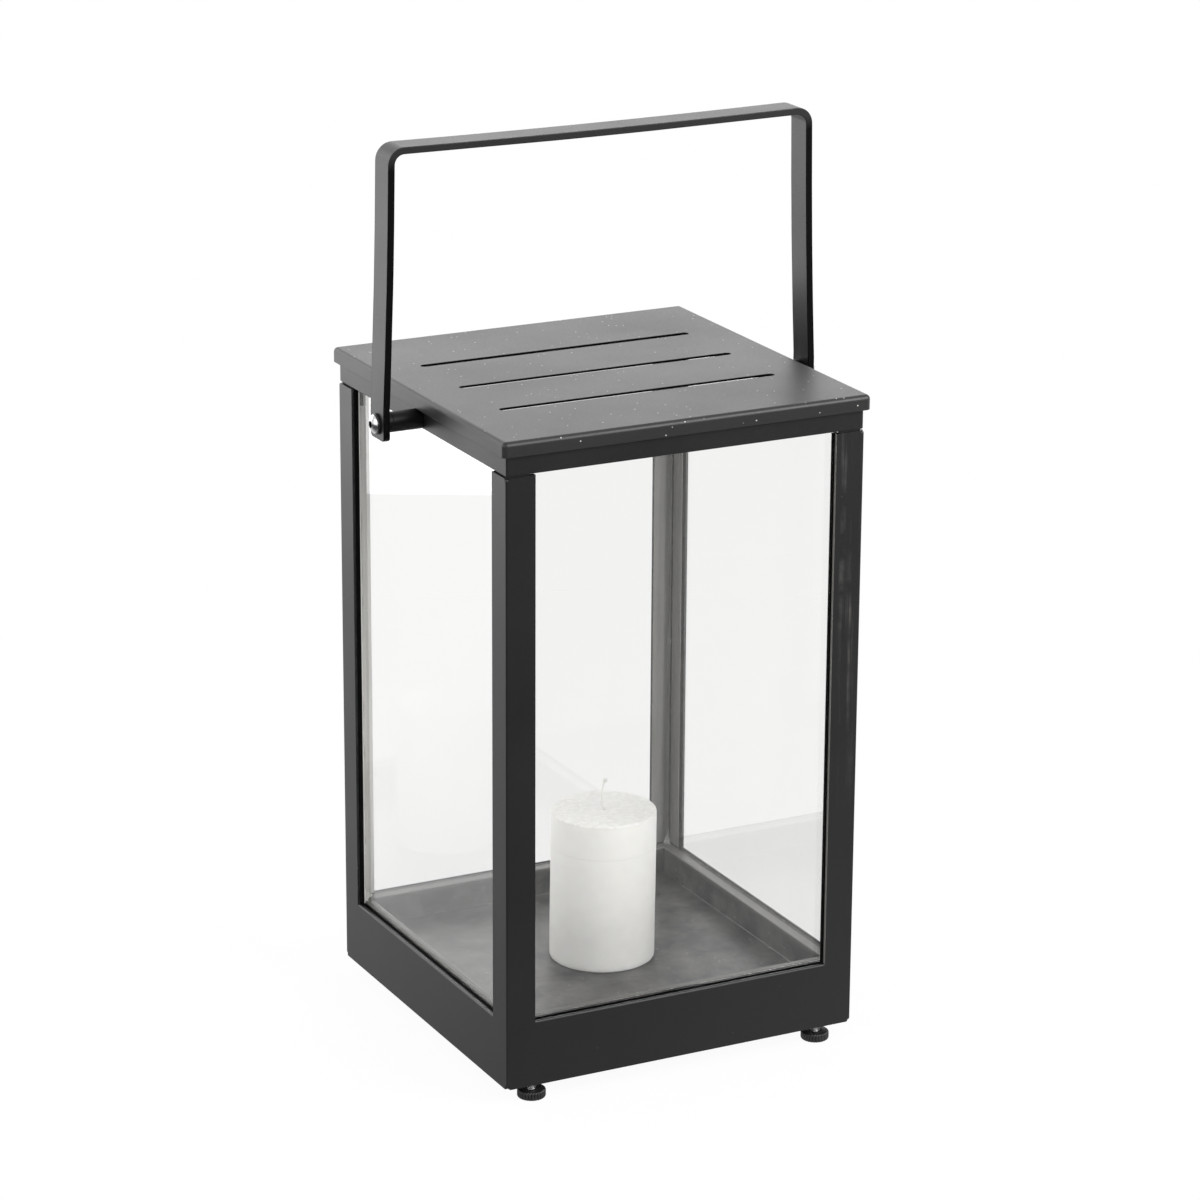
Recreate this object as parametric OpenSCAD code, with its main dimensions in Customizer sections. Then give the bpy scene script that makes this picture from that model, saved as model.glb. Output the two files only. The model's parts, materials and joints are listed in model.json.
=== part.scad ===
// Square candle lantern: steel frame with four glass panes, lift-off slotted
// lid, swinging bail handle, floor tray, levelling feet and a pillar candle.
// Millimetres, +Z up, origin on the ground under the middle of the lantern,
// front face towards -Y.

/* [Frame] */
// Outer width of the frame, left to right
body_w = 250; // [220:1:320]
// Outer depth of the frame, front to back
body_d = 250; // [220:1:320]
// Height of the corner posts above the base skirt
post_h = 358.4; // [260:0.2:480]
// Width of each leg of the corner posts
post_leg = 20; // [17:0.5:26]
// Wall thickness of the corner posts
post_t = 2; // [1.5:0.1:2.5]
// Outer edge radius of the posts and the skirt
edge_r = 1; // [0.4:0.1:1.4]
// Radius of the posts' top outer corners, seen from the front
post_corner_r = 2; // [0.5:0.1:5]

/* [Base] */
// Height of the base skirt
skirt_h = 44; // [38:0.5:70]
// Wall thickness of the base skirt
skirt_t = 2; // [1.5:0.1:2.5]
// Radius along the top outer edge of the skirt
skirt_top_r = 1.5; // [0.5:0.1:1.9]
// Radius of the skirt's bottom corners, seen from the front
skirt_corner_r = 3.5; // [1:0.5:6]

/* [Tray] */
// Gap between the skirt and the edge of the tray
tray_gap = 3; // [2:0.1:4]
// Width of the ledge that the glass stands on
ledge_w = 10.5; // [8:0.1:16]
// Drop from the ledge to the tray's floor
tray_depth = 19; // [8:0.5:24]
// Sheet thickness of the tray
tray_t = 1.5; // [1:0.1:2]
// Height of the angle strips that carry the tray
rail_h = 12; // [8:0.5:16]
// Sheet thickness of the angle strips
rail_t = 1.5; // [1:0.1:2]
// Gap between an angle strip and the tray's wall
rail_gap = 1; // [0.5:0.1:2]

/* [Glass] */
// Distance from the frame's outer faces to the glass
glass_inset = 5; // [4.6:0.1:6]
// Thickness of the panes
glass_t = 4; // [3:0.5:5]
// How far the panes reach up behind the top ring
glass_lap = 5; // [2:0.5:12]
// Distance from a gasket's edge back to the end of the post's leg
gasket_setback = -1; // [-2:0.1:3]
// Size of the silicone beads in the glass corners
bead_r = 3; // [1.5:0.5:5]

/* [Top ring] */
// Gap between the posts and the top ring
ring_gap = 1.2; // [0.6:0.1:3]
// Height of the top ring
ring_h = 20.9; // [18:0.1:30]
// Wall thickness of the top ring
ring_t = 1.5; // [1:0.1:2.2]
// How far the ring is set in from the posts' faces
ring_inset = 0.5; // [0:0.1:1]
// Leg width of the corner brackets
bracket_leg = 15; // [10:0.5:20]
// Thickness of the corner brackets
bracket_t = 2; // [1:0.1:2.4]
// Length of bracket inside the post
bracket_down = 16; // [8:0.5:30]
// Length of bracket inside the ring
bracket_up = 14; // [8:0.5:16]

/* [Lid] */
// How far the lid reaches past the posts' faces
lid_over = 3; // [2:0.1:6]
// Height of the lid
lid_h = 9.8; // [6:0.1:12]
// Sheet thickness of the lid
lid_t = 1.5; // [1:0.1:2]
// Bend radius of the lid's edges and corners
lid_r = 3; // [2.2:0.1:4]
// Number of vent slots
slot_n = 3; // [1:1:5]
// Length of a vent slot
slot_len = 194; // [80:1:210]
// Width of a vent slot
slot_w = 5.6; // [2:0.1:8]
// Distance between the vent slots
slot_pitch = 58; // [30:1:64]

/* [Handle] */
// Height of the grip bar's top above the pivots
handle_rise = 176; // [150:0.5:260]
// Width of the flat bar
bar_w = 20; // [16:0.5:26]
// Thickness of the flat bar
bar_t = 4.5; // [3:0.1:6]
// Outer radius of the handle's top corners
bar_r = 11; // [8:0.5:20]
// How much the grip bar sags at its middle
bar_sag = 1; // [0:0.1:3]
// How far each arm spreads from the top to the pivot
arm_splay = 5.1; // [0:0.1:8]
// Share of the spread that is straight, the rest curves outwards
splay_line = 0.4; // [0:0.05:1]
// Length of arm below the pivot
arm_end = 10; // [8:0.5:14]
// Radius of the arm ends' corners
arm_end_r = 3; // [1:0.5:6]

/* [Pivots] */
// Diameter of the standoffs and collars
standoff_d = 13; // [10:0.5:14]
// Length of the standoffs
standoff_len = 20.8; // [14:0.1:30]
// Gap between a standoff and the lid's edge above it
standoff_gap = 0.3; // [0.2:0.1:2]
// Length of the collars
collar_len = 4; // [2:0.5:8]
// Edge radius of the collars
collar_r = 1.9; // [0.5:0.1:1.9]
// Diameter of the pivot screws
screw_d = 6; // [5:0.5:8]
// Length of screw inside the standoff
screw_grip = 12; // [8:0.5:13]
// Diameter of the screw heads
head_d = 12; // [10:0.5:14]
// Height of the screw heads
head_h = 3.3; // [2.8:0.1:5]
// Height of a screw head's straight rim
head_rim = 0.8; // [0.4:0.1:1.2]
// Width across the flats of the screw sockets
socket_w = 4; // [3:0.5:5]
// Depth of the screw sockets
socket_depth = 2; // [1:0.1:2.4]
// Diameter of the pivot washers
washer_d = 13.5; // [12:0.5:18]
// Thickness of the pivot washers
washer_t = 1.5; // [0.8:0.1:2.5]

/* [Feet] */
// Diameter of the foot discs
foot_d = 18.5; // [14:0.5:24]
// Height of the foot discs
foot_h = 5.5; // [5:0.5:10]
// Radius of the discs' bottom edge
foot_r = 1.2; // [0.5:0.1:2]
// Length of bare screw between disc and base
foot_gap = 5.5; // [2:0.5:10]
// Diameter of the foot screws
stud_d = 6; // [5:0.5:8]
// Length of screw above the base's underside
stud_rise = 21; // [16:0.5:24]
// Depth of the screw's end inside the disc
stud_seat = 3.5; // [2:0.5:4]
// Distance from the frame's side face to a foot's axis
foot_inset_x = 21.5; // [15:0.5:40]
// Distance from the frame's front or back face to a foot's axis
foot_inset_y = 8.5; // [8.2:0.1:40]
// Width of the corner plates, left to right
plate_w = 38; // [32:0.5:60]
// Depth of the corner plates, front to back
plate_d = 26; // [18:0.5:60]
// Thickness of the corner plates
plate_t = 2; // [1.5:0.1:3]
// Diameter of the threaded bushings
bushing_d = 10; // [9:0.5:12]
// Height of the threaded bushings
bushing_h = 12; // [8:0.5:14]

/* [Candle] */
// Diameter of the candle
candle_d = 70; // [40:1:100]
// Height of the candle
candle_h = 103; // [60:1:250]
// Radius of the candle's edges
candle_r = 1.5; // [0.5:0.1:4]
// Place of the candle to the right of the middle
candle_x = 4.5; // [-30:0.5:30]
// Place of the candle behind the middle
candle_y = -2; // [-30:0.1:30]
// Diameter of the wick
wick_d = 2; // [1:0.1:4]
// Length of wick above the candle
wick_len = 20; // [8:0.5:30]
// Length of wick inside the candle
wick_seat = 10; // [5:0.5:20]

/* [Fits] */
// Radial clearance of the handle on its screws
pivot_clear = 0.05; // [0.02:0.01:0.1]
// Radial clearance of the foot screws in their bushings
thread_clear = 0.05; // [0.02:0.01:0.1]
// Side clearance of an arm against collar and washer
side_clear = 0.1; // [0.05:0.05:0.3]
// Radial clearance of pieces that are fixed on a shaft
seat_clear = 0.1; // [0.05:0.05:0.3]
// Clearance past a screw's end
tip_clear = 1; // [0.5:0.1:3]

/* [Hidden] */

$fn = 64;
// Overlap of cutting tools past the faces they cut
cut = 1;

BLACK = [0.09, 0.09, 0.1];
RUBBER = [0.03, 0.03, 0.03];
STEEL = [0.75, 0.76, 0.78];
GLASS = [0.85, 0.93, 0.92, 0.3];
SILICONE = [0.86, 0.87, 0.85, 0.7];
WAX = [0.96, 0.94, 0.88];
WICK = [0.85, 0.82, 0.74];

// Corners of the frame: [side to the right, side to the back]
FRONT_LEFT = [-1, -1];
FRONT_RIGHT = [1, -1];
BACK_LEFT = [-1, 1];
BACK_RIGHT = [1, 1];

// Heights
base_z = foot_h + foot_gap;
ledge_z = base_z + skirt_h;
floor_z = ledge_z - tray_depth;
post_top = ledge_z + post_h;
ring_z = post_top + ring_gap;
ring_top = ring_z + ring_h;
lid_z = ring_top + lid_t - lid_h;
glass_h = ring_z + glass_lap - ledge_z;
pivot_z = lid_z - standoff_gap - standoff_d / 2;
rail_top = ledge_z - tray_t;
bracket_z = post_top - bracket_down;

// Half sizes in plan, [x, y]
frame_half = [body_w, body_d] / 2;
post_in = frame_half - [post_t, post_t];
skirt_in = frame_half - [skirt_t, skirt_t];
tray_half = skirt_in - [tray_gap, tray_gap];
pan_half = tray_half - [ledge_w, ledge_w];
rail_in = pan_half + [tray_t + rail_gap, tray_t + rail_gap];
glass_out = frame_half - [glass_inset, glass_inset];
glass_in = glass_out - [glass_t, glass_t];
ring_half = frame_half - [ring_inset, ring_inset];
ring_in = ring_half - [ring_t, ring_t];
lid_half = frame_half + [lid_over, lid_over];
foot_at = frame_half - [foot_inset_x, foot_inset_y];
gasket_t = post_in[0] - glass_out[0];

// Distances from the middle plane along the pivot axis
collar_x = ring_half[0] + standoff_len;
arm_x = collar_x + collar_len + side_clear;
washer_x = arm_x + bar_t + side_clear;
head_x = washer_x + washer_t;

// Handle outline
bar_z = pivot_z + handle_rise;
arm_half = arm_x + bar_t;
bar_half = arm_half - arm_splay;
flat_drop = handle_rise - arm_end;

// Outer half width of the handle at a distance below its top
function handle_x(drop) =
  let (u = min(1, drop / flat_drop))
  bar_half + arm_splay * (splay_line * u + (1 - splay_line) * u * u);

// Height of the grip bar's top face at a distance from the middle
function sag_z(x, reach) = bar_z - bar_sag * (1 - pow(x / reach, 2));

// Right half of the handle's outline, set in from the outer faces
function handle_side(inset) =
  let (
    r = bar_r - inset,
    turn_x = handle_x(bar_r) - bar_r,
    arm_steps = 16,
    bar_steps = 8,
    corner_steps = 12
  )
  concat(
    [[handle_x(handle_rise + arm_end) - inset, pivot_z - arm_end]],
    [for (i = [arm_steps:-1:1])
      let (drop = bar_r + (flat_drop - bar_r) * i / arm_steps)
      [handle_x(drop) - inset, bar_z - drop]],
    [for (i = [0:corner_steps])
      let (a = 90 * i / corner_steps)
      [turn_x + r * cos(a), bar_z - bar_r + r * sin(a)]],
    [for (i = [bar_steps - 1:-1:0])
      let (x = turn_x * i / bar_steps)
      [x, sag_z(x, turn_x) - inset]]
  );

function mirrored(points) = [for (i = [len(points) - 2:-1:0]) [-points[i][0], points[i][1]]];

// Mirrors a shape made for the front left corner into another corner
module at_corner(corner) {
  mirror([corner[0] > 0 ? 1 : 0, 0, 0])
    mirror([0, corner[1] > 0 ? 1 : 0, 0])
      children();
}

// Turns a shape made along +Z to lie along the pivot axis, on one side
module on_pivot(side, x) {
  translate([side * x, 0, pivot_z])
    rotate([0, side * 90, 0])
      children();
}

// Quarter waste of a rounded corner, radius r, corner at the origin
module corner_waste(r) {
  difference() {
    translate([-cut, -cut])
      square(r + cut);
    translate([r, r])
      circle(r);
  }
}

// Rectangle with round corners, centred
module round_rect(half, r) {
  difference() {
    square(2 * half, center = true);
    for (sx = [0, 1], sy = [0, 1])
      mirror([sx, 0])
        mirror([0, sy])
          translate(-half)
            corner_waste(r);
  }
}

// Closed rectangular band of sheet
module band(outer, inner, r, height) {
  linear_extrude(height)
    difference() {
      round_rect(outer, r);
      square(2 * inner, center = true);
    }
}

// Angle profile with its outer corner at the origin, legs along +X and +Y
module angle_profile(leg, t, r) {
  difference() {
    square(leg);
    translate([t, t])
      square(leg);
    if (r > 0)
      corner_waste(r);
  }
}

// Rounds the skirt's top edge between two posts, along +X
module top_edge_cut(length) {
  translate([-length / 2, 0, 0])
    rotate([90, 0, 90])
      linear_extrude(length)
        mirror([0, 1])
          corner_waste(skirt_top_r);
}

// Rounds one lower corner of two walls that meet at the origin
module wall_corner_cut(t, r) {
  for (swap = [0, 1])
    mirror([swap, -swap, 0])
      translate([0, t, 0])
        rotate([90, 0, 0])
          linear_extrude(t + cut)
            corner_waste(r);
}

module base_skirt() {
  color(BLACK)
    difference() {
      translate([0, 0, base_z])
        band(frame_half, skirt_in, edge_r, skirt_h);
      for (side = [0, 180]) {
        rotate([0, 0, side])
          translate([0, -frame_half[1], ledge_z])
            top_edge_cut(body_w - 2 * post_leg);
        rotate([0, 0, side + 90])
          translate([0, -frame_half[0], ledge_z])
            top_edge_cut(body_d - 2 * post_leg);
      }
      for (corner = [FRONT_LEFT, FRONT_RIGHT, BACK_LEFT, BACK_RIGHT])
        at_corner(corner)
          translate([-frame_half[0], -frame_half[1], base_z])
            wall_corner_cut(skirt_t, skirt_corner_r);
    }
}

module post(corner) {
  color(BLACK)
    at_corner(corner)
      translate([-frame_half[0], -frame_half[1], ledge_z])
        difference() {
          linear_extrude(post_h)
            angle_profile(post_leg, post_t, edge_r);
          translate([0, 0, post_h])
            mirror([0, 0, 1])
              wall_corner_cut(post_t, post_corner_r);
        }
}

module top_ring() {
  color(BLACK)
    translate([0, 0, ring_z])
      band(ring_half, ring_in, edge_r, ring_h);
}

module bracket(corner) {
  color(BLACK)
    at_corner(corner) {
      translate([-post_in[0], -post_in[1], bracket_z])
        linear_extrude(bracket_down + ring_gap)
          angle_profile(bracket_leg, bracket_t, 0);
      translate([-ring_in[0], -ring_in[1], ring_z])
        linear_extrude(bracket_up)
          angle_profile(bracket_leg, bracket_t, 0);
    }
}

// Angle strip along +X whose outer face lies at y = -half
module rail(half, inner, length) {
  reach = half - inner;
  translate([-length / 2, -half, 0]) {
    translate([0, 0, rail_top - rail_h])
      cube([length, rail_t, rail_h]);
    translate([0, 0, rail_top - rail_t])
      cube([length, reach, rail_t]);
  }
}

module rail_long(side) {
  color(BLACK)
    rotate([0, 0, side])
      rail(skirt_in[1], rail_in[1], 2 * skirt_in[0]);
}

module rail_short(side) {
  color(BLACK)
    rotate([0, 0, side])
      rail(skirt_in[0], rail_in[0], 2 * rail_in[1]);
}

module floor_tray() {
  color(BLACK)
    difference() {
      union() {
        translate([-tray_half[0], -tray_half[1], ledge_z - tray_t])
          cube([2 * tray_half[0], 2 * tray_half[1], tray_t]);
        translate([-pan_half[0] - tray_t, -pan_half[1] - tray_t, floor_z - tray_t])
          cube([2 * (pan_half[0] + tray_t), 2 * (pan_half[1] + tray_t), tray_depth]);
      }
      translate([-pan_half[0], -pan_half[1], floor_z])
        cube([2 * pan_half[0], 2 * pan_half[1], tray_depth + cut]);
    }
}

module pane_long(side) {
  color(GLASS)
    rotate([0, 0, side])
      translate([-glass_out[0], -glass_out[1], ledge_z])
        cube([2 * glass_out[0], glass_t, glass_h]);
}

module pane_short(side) {
  color(GLASS)
    rotate([0, 0, side])
      translate([-glass_in[1], -glass_out[0], ledge_z])
        cube([2 * glass_in[1], glass_t, glass_h]);
}

module gasket(corner) {
  leg = post_leg - post_t - gasket_setback;
  color(RUBBER)
    at_corner(corner)
      translate([-post_in[0], -post_in[1], ledge_z])
        linear_extrude(bracket_z - ledge_z)
          angle_profile(leg, gasket_t, 0);
}

module silicone(corner) {
  color(SILICONE)
    at_corner(corner)
      translate([-glass_in[0], -glass_in[1], ledge_z])
        linear_extrude(glass_h)
          difference() {
            square(bead_r);
            translate([bead_r, bead_r])
              circle(bead_r);
          }
}

module foot_plate(corner) {
  color(BLACK)
    at_corner(corner)
      difference() {
        translate([-skirt_in[0], -skirt_in[1], base_z])
          cube([plate_w, plate_d, plate_t]);
        translate([-foot_at[0], -foot_at[1], base_z - cut])
          cylinder(d = stud_d + 2 * seat_clear, h = plate_t + 2 * cut);
      }
}

module foot_bushing(corner) {
  color(STEEL)
    at_corner(corner)
      translate([-foot_at[0], -foot_at[1], base_z + plate_t])
        difference() {
          cylinder(d = bushing_d, h = bushing_h);
          translate([0, 0, -cut])
            cylinder(d = stud_d + 2 * thread_clear, h = bushing_h + 2 * cut);
        }
}

module foot_stud(corner) {
  color(STEEL)
    at_corner(corner)
      translate([-foot_at[0], -foot_at[1], foot_h - stud_seat])
        cylinder(d = stud_d, h = stud_seat + foot_gap + stud_rise);
}

module foot_disc(corner) {
  color(RUBBER)
    at_corner(corner)
      translate([-foot_at[0], -foot_at[1], 0])
        difference() {
          rotate_extrude()
            difference() {
              square([foot_d / 2, foot_h]);
              translate([foot_d / 2, 0])
                mirror([1, 0])
                  corner_waste(foot_r);
            }
          translate([0, 0, foot_h - stud_seat])
            cylinder(d = stud_d + 2 * seat_clear, h = stud_seat + cut);
        }
}

module standoff(side) {
  color(BLACK)
    on_pivot(side, ring_half[0])
      difference() {
        cylinder(d = standoff_d, h = standoff_len);
        translate([0, 0, standoff_len - screw_grip - tip_clear])
          cylinder(d = screw_d + 2 * seat_clear, h = screw_grip + tip_clear + cut);
      }
}

module collar(side) {
  color(BLACK)
    on_pivot(side, collar_x)
      rotate_extrude()
        difference() {
          translate([screw_d / 2 + seat_clear, 0])
            square([(standoff_d - screw_d) / 2 - seat_clear, collar_len]);
          translate([standoff_d / 2, collar_len])
            mirror([1, 0])
              mirror([0, 1])
                corner_waste(collar_r);
        }
}

// Closed outline of the handle: the outer side, then back along the inner side
function handle_outline() =
  let (
    outer = handle_side(0),
    inner = handle_side(bar_t),
    n = len(inner)
  )
  concat(
    outer,
    mirrored(outer),
    [for (i = [0:n - 1]) [-inner[i][0], inner[i][1]]],
    [for (i = [n - 2:-1:0]) inner[i]]
  );

module handle() {
  color(BLACK)
    difference() {
      translate([0, bar_w / 2, 0])
        rotate([90, 0, 0])
          linear_extrude(bar_w)
            polygon(handle_outline());
      for (side = [-1, 1])
        on_pivot(side, arm_x - cut)
          cylinder(d = screw_d + 2 * pivot_clear, h = bar_t + 2 * cut);
      for (corner = [FRONT_LEFT, FRONT_RIGHT, BACK_LEFT, BACK_RIGHT])
        at_corner(corner)
          translate([-arm_half - cut, -bar_w / 2, pivot_z - arm_end])
            rotate([90, 0, 90])
              linear_extrude(bar_t + 2 * cut)
                corner_waste(arm_end_r);
    }
}

module washer(side) {
  color(RUBBER)
    on_pivot(side, washer_x)
      difference() {
        cylinder(d = washer_d, h = washer_t);
        translate([0, 0, -cut])
          cylinder(d = screw_d + 2 * seat_clear, h = washer_t + 2 * cut);
      }
}

module pivot_screw(side) {
  dome_h = head_h - head_rim;
  dome_r = (dome_h * dome_h + head_d * head_d / 4) / (2 * dome_h);
  shank = head_x - collar_x + screw_grip;
  color(STEEL)
    on_pivot(side, head_x)
      difference() {
        union() {
          rotate_extrude()
            intersection() {
              square([head_d / 2, head_h]);
              translate([0, head_h - dome_r])
                circle(dome_r);
            }
          translate([0, 0, -shank])
            cylinder(d = screw_d, h = shank + head_rim);
        }
        translate([0, 0, head_h - socket_depth])
          cylinder(d = socket_w / cos(30), h = socket_depth + cut, $fn = 6);
      }
}

// Section through the lid's bent edge, x = 0 on the start of the bend
module lid_edge_section() {
  difference() {
    union() {
      translate([0, lid_h - lid_r])
        intersection() {
          circle(lid_r);
          square(lid_r);
        }
      square([lid_r, lid_h - lid_r]);
    }
    translate([0, lid_h - lid_r])
      circle(lid_r - lid_t);
    translate([-cut, -cut])
      square([lid_r - lid_t + cut, lid_h - lid_r + cut]);
  }
}

// Straight edge of the lid along X, bend outwards to -Y
module lid_edge(half, length) {
  translate([-length / 2, -half + lid_r, 0])
    rotate([90, 0, 90])
      linear_extrude(length)
        mirror([1, 0])
          lid_edge_section();
}

module lid_slot() {
  run = slot_len - slot_w;
  translate([0, 0, lid_h - lid_t - cut])
    linear_extrude(lid_t + 2 * cut) {
      square([run, slot_w], center = true);
      for (side = [-1, 1])
        translate([side * run / 2, 0])
          circle(d = slot_w);
    }
}

module lid_cap() {
  flat = lid_half - [lid_r, lid_r];
  color(BLACK)
    translate([0, 0, lid_z])
      difference() {
        union() {
          translate([-flat[0], -flat[1], lid_h - lid_t])
            cube([2 * flat[0], 2 * flat[1], lid_t]);
          for (side = [0, 180]) {
            rotate([0, 0, side])
              lid_edge(lid_half[1], 2 * flat[0]);
            rotate([0, 0, side + 90])
              lid_edge(lid_half[0], 2 * flat[1]);
          }
          for (corner = [FRONT_LEFT, FRONT_RIGHT, BACK_LEFT, BACK_RIGHT])
            at_corner(corner)
              translate([-flat[0], -flat[1], 0])
                rotate([0, 0, 180])
                  rotate_extrude(angle = 90)
                    lid_edge_section();
        }
        for (i = [0:slot_n - 1])
          translate([0, (i - (slot_n - 1) / 2) * slot_pitch, 0])
            lid_slot();
      }
}

module candle() {
  color(WAX)
    translate([candle_x, candle_y, floor_z])
      rotate_extrude()
        difference() {
          translate([wick_d / 2 + seat_clear, 0])
            square([(candle_d - wick_d) / 2 - seat_clear, candle_h]);
          translate([candle_d / 2, 0])
            mirror([1, 0])
              corner_waste(candle_r);
          translate([candle_d / 2, candle_h])
            mirror([1, 0])
              mirror([0, 1])
                corner_waste(candle_r);
        }
}

module wick() {
  color(WICK)
    translate([candle_x, candle_y, floor_z + candle_h - wick_seat])
      cylinder(d = wick_d, h = wick_seat + wick_len);
}

base_skirt();
post(FRONT_LEFT);  // post_front_left
post(FRONT_RIGHT);  // post_front_right
post(BACK_LEFT);  // post_back_left
post(BACK_RIGHT);  // post_back_right
top_ring();
bracket(FRONT_LEFT);  // bracket_front_left
bracket(FRONT_RIGHT);  // bracket_front_right
bracket(BACK_LEFT);  // bracket_back_left
bracket(BACK_RIGHT);  // bracket_back_right
rail_long(0);  // rail_front
rail_long(180);  // rail_back
rail_short(-90);  // rail_left
rail_short(90);  // rail_right
floor_tray();
pane_long(0);  // glass_front
pane_long(180);  // glass_back
pane_short(-90);  // glass_left
pane_short(90);  // glass_right
gasket(FRONT_LEFT);  // gasket_front_left
gasket(FRONT_RIGHT);  // gasket_front_right
gasket(BACK_LEFT);  // gasket_back_left
gasket(BACK_RIGHT);  // gasket_back_right
silicone(FRONT_LEFT);  // silicone_front_left
silicone(FRONT_RIGHT);  // silicone_front_right
silicone(BACK_LEFT);  // silicone_back_left
silicone(BACK_RIGHT);  // silicone_back_right
foot_plate(FRONT_LEFT);  // foot_plate_front_left
foot_plate(FRONT_RIGHT);  // foot_plate_front_right
foot_plate(BACK_LEFT);  // foot_plate_back_left
foot_plate(BACK_RIGHT);  // foot_plate_back_right
foot_bushing(FRONT_LEFT);  // foot_bushing_front_left
foot_bushing(FRONT_RIGHT);  // foot_bushing_front_right
foot_bushing(BACK_LEFT);  // foot_bushing_back_left
foot_bushing(BACK_RIGHT);  // foot_bushing_back_right
foot_stud(FRONT_LEFT);  // foot_stud_front_left
foot_stud(FRONT_RIGHT);  // foot_stud_front_right
foot_stud(BACK_LEFT);  // foot_stud_back_left
foot_stud(BACK_RIGHT);  // foot_stud_back_right
foot_disc(FRONT_LEFT);  // foot_disc_front_left
foot_disc(FRONT_RIGHT);  // foot_disc_front_right
foot_disc(BACK_LEFT);  // foot_disc_back_left
foot_disc(BACK_RIGHT);  // foot_disc_back_right
standoff(-1);  // standoff_left
standoff(1);  // standoff_right
collar(-1);  // collar_left
collar(1);  // collar_right
handle();
washer(-1);  // washer_left
washer(1);  // washer_right
pivot_screw(-1);  // pivot_screw_left
pivot_screw(1);  // pivot_screw_right
lid_cap();
candle();
wick();
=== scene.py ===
"""Square candle lantern: finishes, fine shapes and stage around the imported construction."""

import json
import math

import bmesh
import bpy
from bpy.props import FloatProperty, FloatVectorProperty, IntProperty, PointerProperty
from mathutils import Matrix, Vector, noise

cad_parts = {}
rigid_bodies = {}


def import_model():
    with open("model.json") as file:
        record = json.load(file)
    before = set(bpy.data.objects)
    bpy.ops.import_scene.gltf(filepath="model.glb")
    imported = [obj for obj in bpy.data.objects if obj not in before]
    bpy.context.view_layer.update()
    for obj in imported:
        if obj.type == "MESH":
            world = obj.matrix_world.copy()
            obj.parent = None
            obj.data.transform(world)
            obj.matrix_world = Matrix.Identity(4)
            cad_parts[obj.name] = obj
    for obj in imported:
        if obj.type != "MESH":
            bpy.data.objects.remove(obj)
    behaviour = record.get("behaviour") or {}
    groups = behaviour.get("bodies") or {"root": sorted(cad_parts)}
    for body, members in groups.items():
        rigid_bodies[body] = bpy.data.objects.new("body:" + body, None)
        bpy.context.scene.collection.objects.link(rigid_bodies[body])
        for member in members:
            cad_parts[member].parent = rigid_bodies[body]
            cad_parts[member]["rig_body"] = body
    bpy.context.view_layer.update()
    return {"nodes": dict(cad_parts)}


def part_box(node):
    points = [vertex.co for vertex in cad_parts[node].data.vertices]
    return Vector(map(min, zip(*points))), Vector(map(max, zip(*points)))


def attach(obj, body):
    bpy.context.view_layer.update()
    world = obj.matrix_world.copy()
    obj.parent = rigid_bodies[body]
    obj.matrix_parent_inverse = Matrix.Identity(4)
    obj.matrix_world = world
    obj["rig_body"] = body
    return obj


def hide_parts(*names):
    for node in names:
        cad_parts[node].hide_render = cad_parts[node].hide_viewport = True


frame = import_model()

bl_info = {
    "name": "Candle Lantern",
    "version": (1, 0, 0),
    "blender": (4, 5, 0),
    "location": "3D Viewport > Sidebar > Lantern",
    "description": "Finishes and fine shapes of a square glazed candle lantern",
    "category": "Add Mesh",
}

MM = 0.001
CORNERS = ("front_left", "front_right", "back_left", "back_right")
SIDES = ("front", "back", "left", "right")
ENDS = ("left", "right")
# Edges that turn by more than this are rounded
EDGE_ANGLE = math.radians(35)
# Edges that turn by more than this are shaded sharp
SHADE_ANGLE = math.radians(40)
# Faces that turn by less than this are joined before rounding
FLAT_ANGLE = math.radians(0.4)
# Vertices closer than this are joined
WELD = 0.002 * MM
# Share of the white surroundings that is lost through glass
GLASS_LOSS = 0.03
# The ground's glow as metal sees it, a painted reflection, falls from white at the back left to this at
# the front right
DARKEST_GROUND = 0.08
# Where that fall ends and starts, along the diagonal from front right to back left, in metres
DARK_END = -0.30
WHITE_END = 0.12
# Share of the sheen that is left where the coat is painted as lying in shade
SHADOW_SHEEN = 0.05


# ---------------------------------------------------------------- sizes and colours


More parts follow.
